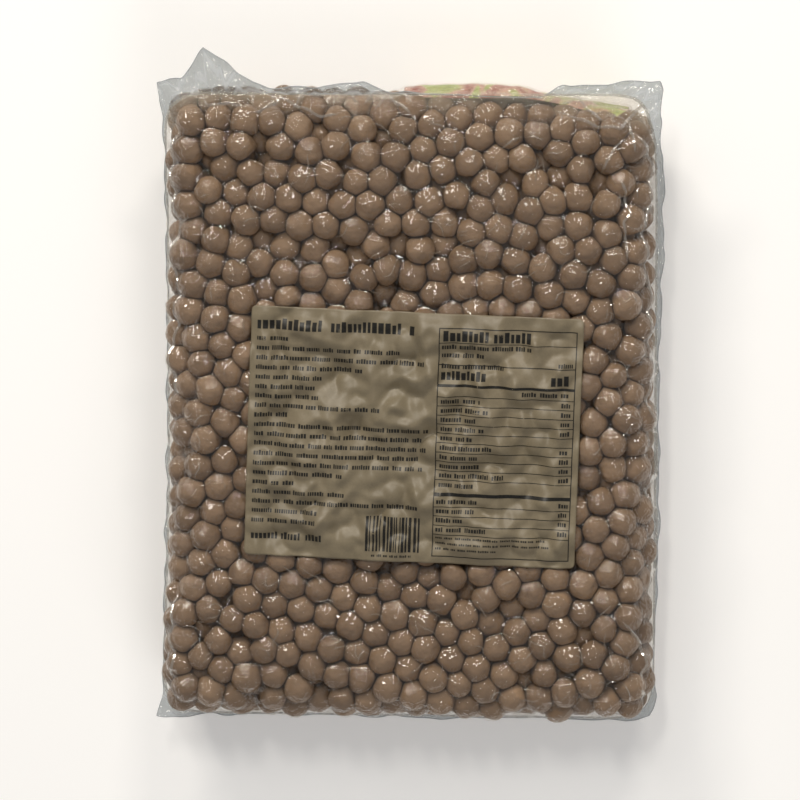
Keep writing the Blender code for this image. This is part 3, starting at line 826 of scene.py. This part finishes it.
def make_seam(edge, root, material):
    """The seam's film: a strip that waves along its edge, with a bead where it was cut."""
    count = len(edge)
    run = np.arange(count) * SEAM_STEP
    whole = count * SEAM_STEP
    waves = [
        size * np.sin(run / whole * 2.0 * math.pi * (whole // period) + start)
        for period, size, start in SEAM_WAVES
    ]
    wave = sum(waves)
    slow = waves[0] + waves[1] + 0.3 * waves[2]
    out = edge - root
    width = np.linalg.norm(out, axis=1)
    on_side = np.clip((SEAM_DRAWN_BELOW - width) / SEAM_FULL_WIDTH, 0.0, 1.0)
    kept = 1.0 - on_side * np.where(edge[:, 0] < 0.0, SEAM_DRAWN[0], SEAM_DRAWN[1])
    ring = np.concatenate([kept[-SEAM_SMOOTHED:], kept, kept[:SEAM_SMOOTHED]])
    near = 2 * SEAM_SMOOTHED + 1
    kept = np.convolve(ring, np.full(near, 1.0 / near), "valid")
    wide = width / SEAM_FULL_WIDTH
    rows, streaks = [], []
    for step in np.linspace(0.0, 1.0, SEAM_CELLS + 1):
        ragged = SEAM_RAGGED * slow * np.minimum(wide, 1.0)
        line = root + out / width[:, None] * ((width * kept + ragged) * step)[:, None]
        line[:, 2] += SEAM_WAVE * wave[::-1] * step**SEAM_WAVE_POWER * np.minimum(wide, SEAM_MOST_WAVE)
        rows.append(line)
        phase = wave * SEAM_STREAKS[0] + step * SEAM_STREAKS[1] + run * SEAM_STREAKS[2]
        streaks.append(0.5 + 0.5 * np.sin(phase))
    last = rows[-1]
    way = out / width[:, None]
    up = np.array([0.0, 0.0, 1.0])
    for turn in SEAM_BEAD_TURNS:
        angle = turn * math.pi
        side = way * (1.0 - math.cos(angle)) + up * math.sin(angle)
        rows.append(last + side * SEAM_BEAD)
        streaks.append(np.ones(count))
    grid = np.stack([np.vstack([row, row[:1]]) for row in rows])
    obj = new_mesh("film_seam", grid, grid_quads(len(rows), count + 1))
    set_values(obj, "slack", np.stack([np.append(row, row[0]) for row in streaks]) ** 2)
    add_piece(obj, material, "bag_of_pearls")


def crease_paths():
    """Lines in plan of the film's named folds and of its small random ones, and their sizes."""
    paths = []
    for fold in NAMED_FOLDS:
        line = [((px - MIDDLE_PIXEL) * PIXEL, (MIDDLE_PIXEL - py) * PIXEL) for px, py in fold]
        paths.append((line, NAMED_CREASE))
    random = np.random.default_rng(SEED + 4)
    for _ in range(CREASE_COUNT):
        x, y = random.uniform(*CREASE_AREA[0]), random.uniform(*CREASE_AREA[1])
        heading = random.uniform(0.0, 2.0 * math.pi)
        bend = random.normal(0.0, CREASE_BEND)
        turn = random.uniform(*CREASE_TURN)
        start = random.uniform(0.0, 2.0 * math.pi)
        line = []
        for step in range(int(random.uniform(*CREASE_STEPS))):
            line.append((x, y))
            sway = turn * math.sin(start + step * CREASE_SWAY)
            heading += (bend * CREASE_BEND_KEPT + sway) * CREASE_STEP
            x += math.cos(heading) * CREASE_STEP
            y += math.sin(heading) * CREASE_STEP
        paths.append((line, random.uniform(*CREASE_SIZES)))
    return paths


def make_creases(film, material):
    """Small standing folds of the film, each a narrow ridge that follows it."""
    ridges = []
    for path, size in crease_paths():
        plan = resample(path, CREASE_STEP / 2.0)
        if under_label(np.column_stack([plan, np.full(len(plan), HALF_THICK)]), CREASE_LABEL_GAP).any():
            continue
        middle, way = film.on_face(*face_uv(plan[:, 0], plan[:, 1]))
        for _ in range(2):
            middle[1:-1] = (middle[:-2] + 2.0 * middle[1:-1] + middle[2:]) / 4.0
        along = np.gradient(middle, axis=0)
        across = np.cross(way, along)
        across /= np.linalg.norm(across, axis=1)[:, None] + 1e-9
        from_end = np.minimum(np.arange(len(plan)), np.arange(len(plan))[::-1])
        fade = np.clip(from_end / CREASE_FADE, CREASE_END, 1.0)[:, None]
        rows = []
        for place, rise in CREASE_SHAPE:
            ridge = across * CREASE_WIDTH * place + way * CREASE_HEIGHT * rise
            rows.append(middle + ridge * fade * size - way * CREASE_ROOT)
        ridges.append(np.stack(rows))
    add_piece(join_grids("film_creases", ridges), material, "bag_of_pearls")


def make_core(material):
    """What lies deeper than the pearls that show."""
    v, u = skin_grid(CORE_ROWS, CORE_COLUMNS)
    sides = [skin(u, v, side, CORE_DEPTH) for side in (1, -1)]
    quads = grid_quads(CORE_ROWS, CORE_COLUMNS)
    faces = np.concatenate([quads, quads[:, ::-1] + u.size])
    obj = new_mesh("pearls_core", np.stack(sides), faces)
    set_values(obj, "tone", np.full(u.size * 2, 0.5))
    add_piece(obj, material, "bag_of_pearls")


def sheet_grid(under):
    """Points of the printed sheet, at a depth under its outer face, from its foot over the top end."""
    x = np.linspace(SHEET_LEFT, SHEET_RIGHT, SHEET_COLUMNS)
    across = np.clip((x - SHEET_LEFT) / (SHEET_ARCH_RIGHT - SHEET_LEFT), 0.0, 1.0)
    arch = np.sin(across * math.pi) ** SHEET_ARCH_POWER
    lowered = np.clip((x - SLANT_POINT[0]) / SHEET_LOWERED_OVER, 0.0, 1.0)
    top = SHEET_TOP + SHEET_ARCH * arch - SHEET_LOWERED * lowered
    turn = math.pi / 2.0 + np.arctan(top / edge_curve(top))
    share = np.concatenate([np.zeros(SHEET_ROWS[0]), np.linspace(0.0, 1.0, SHEET_ROWS[1])])[:, None]
    foot = np.linspace(SHEET_FOOT, FLAT_LENGTH, SHEET_ROWS[0], endpoint=False)
    foot = np.concatenate([foot, np.full(SHEET_ROWS[1], FLAT_LENGTH)])[:, None]
    angle = share * turn[None, :]
    out, up = np.sin(angle), -np.cos(angle)
    bulge = (out**EDGE_POWER + np.abs(up) ** EDGE_POWER) ** (-1.0 / EDGE_POWER)
    risen = np.clip((HALF_THICK * bulge * up - SHEET_OUT_FROM) / SHEET_OUT_OVER, 0.0, 1.0)
    depth = SHEET_DEPTH + (SHEET_OUTSIDE - SHEET_DEPTH) * risen - SHEET_BULGE * arch * share**2
    rate, turning, drift = SHEET_RIPPLES
    depth = depth + under + SHEET_RIPPLE * share * np.sin(x * rate) * np.sin(angle * turning + x * drift)
    tuck = np.clip((share - SHEET_TUCKED_FROM) / SHEET_TUCKED_OVER, 0.0, 1.0) ** 2
    depth = depth * (1.0 - tuck) + (SHEET_TUCK + under) * tuck
    radius = (HALF_THICK - depth) * bulge
    slant = np.maximum(x - SLANT_POINT[0], 0.0) * SLANT_WAY[0] / SLANT_WAY[1] * SHEET_SLANT
    y = foot + radius * out - slant * share
    z = np.maximum(radius * up, FLOOR + 3.0 * FLOOR_CLEARANCE - under)
    return np.stack([np.broadcast_to(x, y.shape), y, z], axis=-1)


def make_sheet(material):
    """The printed sheet as a thin solid."""
    obj = closed_sheet("printed_sheet", sheet_grid(0.0), sheet_grid(SHEET_THICK))
    add_piece(obj, material, "print_sheet")


def closed_sheet(name, top, bottom):
    """A closed thin solid between two grids of the same size."""
    rows, columns = top.shape[:2]
    quads = grid_quads(rows, columns)
    index = np.arange(rows * columns).reshape(rows, columns)
    rim = np.concatenate([index[0], index[1:, -1], index[-1, -2::-1], index[-2:0:-1, 0]])
    after = np.roll(rim, -1)
    side = np.stack([rim, rim + index.size, after + index.size, after], axis=1)
    faces = np.concatenate([quads, quads[:, ::-1] + index.size, side])
    return new_mesh(name, np.stack([top, bottom]), faces)


def crumple(x, y, size, random):
    """Heights of a lattice of flat triangles whose corners are raised at random, from -1 to 1."""
    corner = random.uniform(-1.0, 1.0, (LATTICE, LATTICE))
    skew = (x + y) / size * (math.sqrt(3.0) - 1.0) / 2.0
    i, j = x / size + skew + LATTICE / 2.0, y / size + skew + LATTICE / 2.0
    row, column = np.floor(i).astype(int), np.floor(j).astype(int)
    down, right = i - row, j - column
    near, far = corner[row, column], corner[row + 1, column + 1]
    beside = np.where(down > right, corner[row + 1, column], corner[row, column + 1])
    most, least = np.maximum(down, right), np.minimum(down, right)
    return near * (1.0 - most) + beside * (most - least) + far * least


def soften(grid, rounds):
    """A grid of heights, smoothed a little."""
    for _ in range(rounds):
        grid = grid * 0.5 + around(grid) / 8.0
    return grid


class Label:
    """The information label: a stiffer sheet pressed on the pearls, with creases that cross them."""

    def __init__(self, pearls):
        self.across, self.along = np.meshgrid(
            np.linspace(-0.5, 0.5, LABEL_COLUMNS) * LABEL_SIZE[0],
            np.linspace(-0.5, 0.5, LABEL_ROWS) * LABEL_SIZE[1],
        )
        x, y = self.turned(self.across, self.along)
        stop = np.full(x.shape, -1.0)
        near = under_label(pearls.centres, 2.0 * PEARL_RADIUS) & (pearls.normal[:, 2] > FACE_LEAN)
        for index in np.flatnonzero(near & (pearls.depth < PEARL_RADIUS * HOLDING_LAYER)):
            centre = pearls.centres[index]
            radius = pearls.radii[index] * (PLUMP - SQUASH / 2.0) + LABEL_CLEARANCE
            inside = radius**2 - (x - centre[0]) ** 2 - (y - centre[1]) ** 2
            top = np.where(inside > 0.0, centre[2] + np.sqrt(np.maximum(inside, 0.0)), -1.0)
            stop = np.maximum(stop, top)
        height = np.maximum(stop, HALF_THICK + LABEL_START)
        for _ in range(LABEL_ROUNDS):
            height = np.maximum(stop, around(height) / 4.0 - LABEL_SUCTION)
        random = np.random.default_rng(SEED + 2)
        height = soften(height, LABEL_STIFFNESS)
        edge = np.minimum(
            LABEL_SIZE[0] / 2 - np.abs(self.across), LABEL_SIZE[1] / 2 - np.abs(self.along)
        )
        loose = LABEL_LOOSE + (1.0 - LABEL_LOOSE) * np.clip(edge / LABEL_HELD, 0.0, 1.0)
        for size, rise in CRUMPLES:
            height = height + loose * rise * crumple(x, y, size, random)
        height = soften(np.maximum(height + LABEL_LIFT * loose, stop), 2)
        self.height = np.maximum(height, stop - LABEL_CLEARANCE * LABEL_GIVE)

    def turned(self, across, along):
        """Pack coordinates of places on the label."""
        x = LABEL_CENTRE[0] + across * math.cos(LABEL_TURN) - along * math.sin(LABEL_TURN)
        y = LABEL_CENTRE[1] + across * math.sin(LABEL_TURN) + along * math.cos(LABEL_TURN)
        return x, y

    def points(self, across, along, lift):
        """Points on the label, or at a lift over it."""
        row = (along / LABEL_SIZE[1] + 0.5) * (LABEL_ROWS - 1)
        column = (across / LABEL_SIZE[0] + 0.5) * (LABEL_COLUMNS - 1)
        x, y = self.turned(across, along)
        return np.stack([x, y, between(self.height, row, column) + lift], axis=-1)

    def make(self, material):
        """The label's own thin solid, with its corners rounded."""
        over_x = np.maximum(np.abs(self.across) - (LABEL_SIZE[0] / 2 - LABEL_ROUND), 0.0)
        over_y = np.maximum(np.abs(self.along) - (LABEL_SIZE[1] / 2 - LABEL_ROUND), 0.0)
        drawn_x = over_x * (1.0 - np.sqrt(1.0 - over_y**2 / LABEL_ROUND**2 / 2.0))
        drawn_y = over_y * (1.0 - np.sqrt(1.0 - over_x**2 / LABEL_ROUND**2 / 2.0))
        across = self.across - np.sign(self.across) * drawn_x
        along = self.along - np.sign(self.along) * drawn_y
        top = self.points(across, along, 0.0)
        bottom = self.points(across, along, -LABEL_THICK)
        add_piece(closed_sheet("label_sheet", top, bottom), material, "info_label")

    def print_bars(self, bars, material):
        """Plain bars of ink. Each is (left, right, top, bottom) from the label's top left corner."""
        grids = []
        for left, right, top, bottom in bars:
            columns = max(int(math.ceil((right - left) / INK_STEP)), 1) + 1
            rows = max(int(math.ceil((bottom - top) / INK_STEP)), 1) + 1
            across, along = np.meshgrid(
                np.linspace(left, right, columns) - LABEL_SIZE[0] / 2,
                LABEL_SIZE[1] / 2 - np.linspace(bottom, top, rows),
            )
            grids.append(self.points(across, along, INK_LIFT))
        add_piece(join_grids("label_print", grids), material, "info_label")


def word_bars(random, left, right, middle, height, word=(0.0035, 0.0105), gap=0.0013):
    """A row of short upright blocks in uneven groups, as a line of small print is seen from afar."""
    bars, start = [], left
    block = max(height * BLOCK_WIDTH, BLOCK_LEAST)
    while start < right - block:
        end = min(start + random.uniform(*word), right)
        place = start
        while place < end - block * 0.5:
            width = block * random.uniform(*BLOCK_SPREAD)
            tall = height * random.choice(BLOCK_TALL)
            bars.append((place, place + width, middle - tall, middle + height * 0.5))
            place += width + block * BLOCK_GAP
        start = end + gap
    return bars


def label_bars():
    """The label's print as plain bars: a heading and a text block, stripes, and a ruled table."""
    random = np.random.default_rng(SEED + 3)
    bars = []

    def words(left, right, middle, height=TEXT_HEIGHT, *groups):
        bars.extend(word_bars(random, left, right, middle, height, *groups))

    words(*HEADING)
    for number, length in enumerate(TEXT_LENGTHS):
        words(TEXT_LEFT, TEXT_LEFT + length * MILLIMETRE, TEXT_TOP + number * TEXT_PITCH)
    words(*TEXT_END)

    place, end, top, bottom = STRIPES
    while place < end:
        width = random.choice(STRIPE_WIDTHS)
        bars.append((place, place + width, top, bottom))
        place += width + random.choice(STRIPE_GAPS)
    words(*STRIPES_LINE)

    left, right, top, bottom = TABLE
    bars += [(left, left + TABLE_RULE, top, bottom), (right - TABLE_RULE, right, top, bottom)]
    bars += [(left, right, top, top + TABLE_RULE), (left, right, bottom - TABLE_RULE, bottom)]
    bars += [(left, right, top + upper, top + lower) for upper, lower in TABLE_RULES]
    for start, end, middle, *shape in TABLE_LINES:
        side = left if start > 0.0 else right
        words(side + start, side + end, top + middle, *shape)
    for lengths, first, (upper, lower), (start, column), lowered in TABLE_ROWS:
        for number, length in enumerate(lengths):
            middle = top + first + number * TABLE_PITCH
            bars.append((left, right, middle + upper, middle + lower))
            words(left + start, left + length * MILLIMETRE, middle + lowered)
            if number % 5 != TABLE_BARE_ROW:
                words(right - column, right - TABLE_INDENT, middle + lowered)
    for number, length in enumerate(NOTE_LENGTHS):
        middle = top + NOTE_TOP + number * NOTE_PITCH
        words(left + TABLE_INDENT, left + length * MILLIMETRE, middle, *NOTE_LINE)
    return bars


def shader_tree(name):
    """A new material and its nodes and links, without its first shader."""
    material = bpy.data.materials.new(name)
    material.use_nodes = True
    tree = material.node_tree
    tree.nodes.remove(tree.nodes["Principled BSDF"])
    return material, tree


def add_node(tree, kind, **values):
    """A node with the values of its inputs set by name."""
    node = tree.nodes.new("ShaderNode" + kind)
    for name, value in values.items():
        node.inputs[name.replace("_", " ")].default_value = value
    return node


def ramp(tree, source, stops):
    """A colour ramp over a value, from stops of place and colour."""
    node = tree.nodes.new("ShaderNodeValToRGB")
    while len(node.color_ramp.elements) < len(stops):
        node.color_ramp.elements.new(0.5)
    for element, (place, colour) in zip(node.color_ramp.elements, stops):
        element.position = place
        element.color = (*colour, 1.0)
    tree.links.new(source, node.inputs["Fac"])
    return node.outputs["Color"]


def grey_ramp(tree, source, *stops):
    """A ramp of greys over a value, from stops of place and value."""
    return ramp(tree, source, [(place, (value,) * 3) for place, value in stops])


def kept_number(tree, name):
    """The number that each point of the mesh keeps under a name."""
    node = tree.nodes.new("ShaderNodeAttribute")
    node.attribute_name = name
    return node.outputs["Fac"]


def noise(tree, scale, detail=3.0, roughness=0.5, distortion=0.0):
    """Noise over the object's own coordinates."""
    place = tree.nodes.new("ShaderNodeTexCoord")
    node = add_node(
        tree, "TexNoise", Scale=scale, Detail=detail, Roughness=roughness, Distortion=distortion
    )
    tree.links.new(place.outputs["Object"], node.inputs["Vector"])
    return node.outputs["Fac"]


def bump(tree, source, distance, strength=1.0, normal=None):
    """Relief of a value."""
    node = add_node(tree, "Bump", Strength=strength, Distance=distance)
    tree.links.new(source, node.inputs["Height"])
    if normal is not None:
        tree.links.new(normal, node.inputs["Normal"])
    return node.outputs["Normal"]


def multiplied(tree, first, second):
    """The product of two colours."""
    node = tree.nodes.new("ShaderNodeMix")
    node.data_type = "RGBA"
    node.blend_type = "MULTIPLY"
    inputs = {socket.name: socket for socket in node.inputs if socket.enabled}
    inputs["Factor"].default_value = 1.0
    tree.links.new(first, inputs["A"])
    tree.links.new(second, inputs["B"])
    return [socket for socket in node.outputs if socket.enabled][0]


def mix_shaders(tree, share, first, second):
    """A mix of two shaders."""
    node = tree.nodes.new("ShaderNodeMixShader")
    for place, source in enumerate((share, first, second)):
        tree.links.new(source, node.inputs[place])
    return node.outputs["Shader"]


def surface(material, colour=None, relief=None, **values):
    """The material, finished as an opaque surface with its colour, relief and plain values."""
    tree = material.node_tree
    shader = add_node(tree, "BsdfPrincipled", **values)
    for source, name in ((colour, "Base Color"), (relief, "Normal")):
        if source is not None:
            tree.links.new(source, shader.inputs[name])
    tree.links.new(shader.outputs["BSDF"], tree.nodes["Material Output"].inputs["Surface"])
    return material


def pearl_material():
    """Dry starch: matt taupe, each pearl a little lighter or darker, with faint mottling."""
    material, tree = shader_tree("pearl_starch")
    stops = [(0.0, (0.200, 0.133, 0.085)), (0.5, (0.236, 0.158, 0.101)), (1.0, (0.274, 0.185, 0.118))]
    base = ramp(tree, kept_number(tree, "tone"), stops)
    mottle = ramp(tree, noise(tree, 150.0, 4.0), [(0.3, (0.86, 0.85, 0.84)), (0.7, (1.08, 1.07, 1.05))])
    colour = multiplied(tree, base, mottle)
    relief = bump(tree, noise(tree, 1400.0, 3.0), 0.00006)
    relief = bump(tree, noise(tree, 190.0, 2.0), 0.0014, normal=relief)
    return surface(material, colour, relief, Roughness=0.62, Specular_IOR_Level=0.25)


def film_material(name, haze, haze_colour, roughness, wrinkle, clearness, shines):
    """Clear film: it lets light through, shines at every angle and is a little milky; on the clear film
    the cream haze that rises where it hangs slack is partly a painted sheen.
    """
    material, tree = shader_tree(name)
    relief = bump(tree, noise(tree, 330.0, 0.0, distortion=1.6), wrinkle)
    relief = bump(tree, noise(tree, 130.0, 0.0, distortion=1.0), wrinkle * 2.0, normal=relief)
    clear = add_node(tree, "BsdfTransparent", Color=(*clearness, 1.0))
    shine = add_node(tree, "BsdfGlossy", Color=(1.0, 1.0, 1.0, 1.0), Roughness=roughness)
    milk_and_sheen_layer = add_node(tree, "BsdfDiffuse", Color=(*haze_colour, 1.0))
    edge_on = add_node(tree, "LayerWeight", Blend=0.5)
    for node in (shine, edge_on):
        tree.links.new(relief, node.inputs["Normal"])
    stops = ((0.0, shines), (0.5, shines * 1.2), (0.8, shines + 0.06), (1.0, 0.5))
    share = grey_ramp(tree, edge_on.outputs["Facing"], *stops)
    glass = mix_shaders(tree, share, clear.outputs["BSDF"], shine.outputs["BSDF"])
    # Milkiness from the kept slack; on the clear film its cream haze near the seam is partly painted
    # sheen.
    milk_and_sheen = grey_ramp(tree, kept_number(tree, "slack"), (0.0, haze[0]), (1.0, haze[1]))
    whole = mix_shaders(tree, milk_and_sheen, glass, milk_and_sheen_layer.outputs["BSDF"])
    tree.links.new(whole, tree.nodes["Material Output"].inputs["Surface"])
    return material


def print_material():
    """The printed sheet: yellow-green with patches of dull red and pink, under a fine grain."""
    material, tree = shader_tree("sheet_print")
    patches = ramp(
        tree,
        noise(tree, 46.0, 3.0, distortion=1.5),
        [
            (0.0, (0.20, 0.27, 0.05)),
            (0.46, (0.36, 0.40, 0.10)),
            (0.52, (0.52, 0.30, 0.22)),
            (0.62, (0.30, 0.09, 0.06)),
            (1.0, (0.50, 0.33, 0.28)),
        ],
    )
    grain = ramp(tree, noise(tree, 900.0, 2.0), [(0.35, (0.72, 0.72, 0.70)), (0.65, (1.1, 1.1, 1.1))])
    colour = multiplied(tree, patches, grain)
    return surface(material, colour, bump(tree, noise(tree, 240.0, 3.0), 0.0003), Roughness=0.38)


def label_material():
    """The label's coated paper, warm grey, a little lighter and darker in soft patches at random."""
    material, tree = shader_tree("label_paper")
    stops = [(0.3, (0.184, 0.152, 0.099)), (0.7, (0.224, 0.186, 0.123))]
    paper = ramp(tree, noise(tree, 42.0, 3.0), stops)
    fibre = grey_ramp(tree, noise(tree, 1100.0, 3.0), (0.3, 0.95), (0.7, 1.04))
    colour = multiplied(tree, paper, fibre)
    relief = bump(tree, noise(tree, 1500.0, 2.0), 0.00003)
    relief = bump(tree, noise(tree, 300.0, 2.0), 0.00008, normal=relief)
    return surface(material, colour, relief, Roughness=0.42)


def ink_material():
    """Worn dark ink."""
    material, tree = shader_tree("label_ink")
    stops = [(0.3, (0.006, 0.006, 0.005)), (0.75, (0.019, 0.017, 0.014))]
    return surface(material, ramp(tree, noise(tree, 900.0, 2.0), stops), Roughness=0.45)


def floor_material():
    """A plain pale studio floor."""
    material, _ = shader_tree("pale_floor")
    pale, white = (0.93, 0.93, 0.93, 1.0), (1.0, 1.0, 1.0, 1.0)
    return surface(
        material, Roughness=0.8, Base_Color=pale, Emission_Color=white, Emission_Strength=0.16
    )


def add_light(name, where, size, power, colour, in_gloss):
    """An area light at a place, turned to the bag, that shows in glossy surfaces or not."""
    light = bpy.data.lights.new(name, "AREA")
    light.shape = "RECTANGLE"
    light.size, light.size_y = size
    light.energy = power
    light.color = colour
    obj = bpy.data.objects.new(name, light)
    obj.location = where
    obj.rotation_euler = (Vector(where) - Vector(LIT_POINT)).to_track_quat("Z", "Y").to_euler()
    obj.visible_glossy = in_gloss
    bpy.context.scene.collection.objects.link(obj)


def make_studio():
    """Floor, soft light from the photograph's top, a few small bright lamps for glints, and the camera."""
    mesh = bpy.data.meshes.new("floor")
    corners = [(x * FLOOR_HALF, y * FLOOR_HALF, 0.0) for x, y in ((-1, -1), (1, -1), (1, 1), (-1, 1))]
    mesh.from_pydata(corners, [], [(0, 1, 2, 3)])
    floor = bpy.data.objects.new("floor", mesh)
    mesh.materials.append(floor_material())
    bpy.context.scene.collection.objects.link(floor)

    world = bpy.data.worlds.new("soft_room")
    bpy.context.scene.world = world
    world.use_nodes = True
    sky = world.node_tree.nodes["Background"]
    sky.inputs["Color"].default_value = SKY_COLOUR
    sky.inputs["Strength"].default_value = SKY_STRENGTH
    for lamp in LAMPS:
        add_light(*lamp)

    camera = bpy.data.cameras.new("camera")
    camera.lens = CAMERA_LENS
    camera.clip_start = 0.02
    obj = bpy.data.objects.new("camera", camera)
    away = Vector((math.tan(CAMERA_EAST), math.tan(CAMERA_NORTH), 1.0)).normalized()
    right = Vector((0.0, 1.0, 0.0)).cross(away).normalized()
    turned = Matrix((right, away.cross(right), away)).transposed()
    obj.matrix_world = Matrix.Translation(
        Vector(VIEW_CENTRE) + Vector(PLACE) + away * CAMERA_DISTANCE
    ) @ turned.to_4x4()
    bpy.context.scene.collection.objects.link(obj)
    bpy.context.scene.camera = obj
    bpy.context.scene.view_settings.view_transform = "Standard"


def under_label(points, margin):
    """Which points lie below the label, or nearer to its edge than the margin."""
    dx, dy = points[:, 0] - LABEL_CENTRE[0], points[:, 1] - LABEL_CENTRE[1]
    across = dx * math.cos(LABEL_TURN) + dy * math.sin(LABEL_TURN)
    along = -dx * math.sin(LABEL_TURN) + dy * math.cos(LABEL_TURN)
    across_it = np.abs(across) < LABEL_SIZE[0] / 2 + margin
    along_it = np.abs(along) < LABEL_SIZE[1] / 2 + margin
    return across_it & along_it & (points[:, 2] > 0.0)


def main():
    """The pearls, the film with its seam and folds, the label, the printed sheet and the studio."""
    pearls = Pearls()
    edge, root = seam_lines()
    film = Film(pearls, root, sheet_grid(0.0))

    starch = pearl_material()
    outer = pearls.depth < PEARL_RADIUS * OUTER_LAYER
    labelled = under_label(pearls.centres, -PEARL_RADIUS)
    hidden = labelled | behind_sheet(pearls.centres, -PEARL_RADIUS)
    shown = outer & ~hidden
    up = pearls.normal[:, 2]
    for name, chosen, cells in (
        ("pearls_face", shown & (up > FACE_LEAN), FINE_CELLS),
        ("pearls_side", shown & (abs(up) <= FACE_LEAN), FINE_CELLS),
        ("pearls_under", shown & (up < -FACE_LEAN), FINE_CELLS),
        ("pearls_covered", outer & hidden, COARSE_CELLS),
        ("pearls_second", ~outer & (pearls.depth < PEARL_RADIUS * SECOND_LAYER) & ~labelled, COARSE_CELLS),
    ):
        pearls.join(name, np.flatnonzero(chosen), cells, starch)
    make_core(starch)
    make_film(film, film_material(*CLEAR_FILM))
    make_seam(edge, root, film_material(*SEAM_FILM))
    make_creases(film, film_material(*FOLD_FILM))
    label = Label(pearls)
    label.make(label_material())
    label.print_bars(label_bars(), ink_material())
    make_sheet(print_material())
    make_studio()


main()
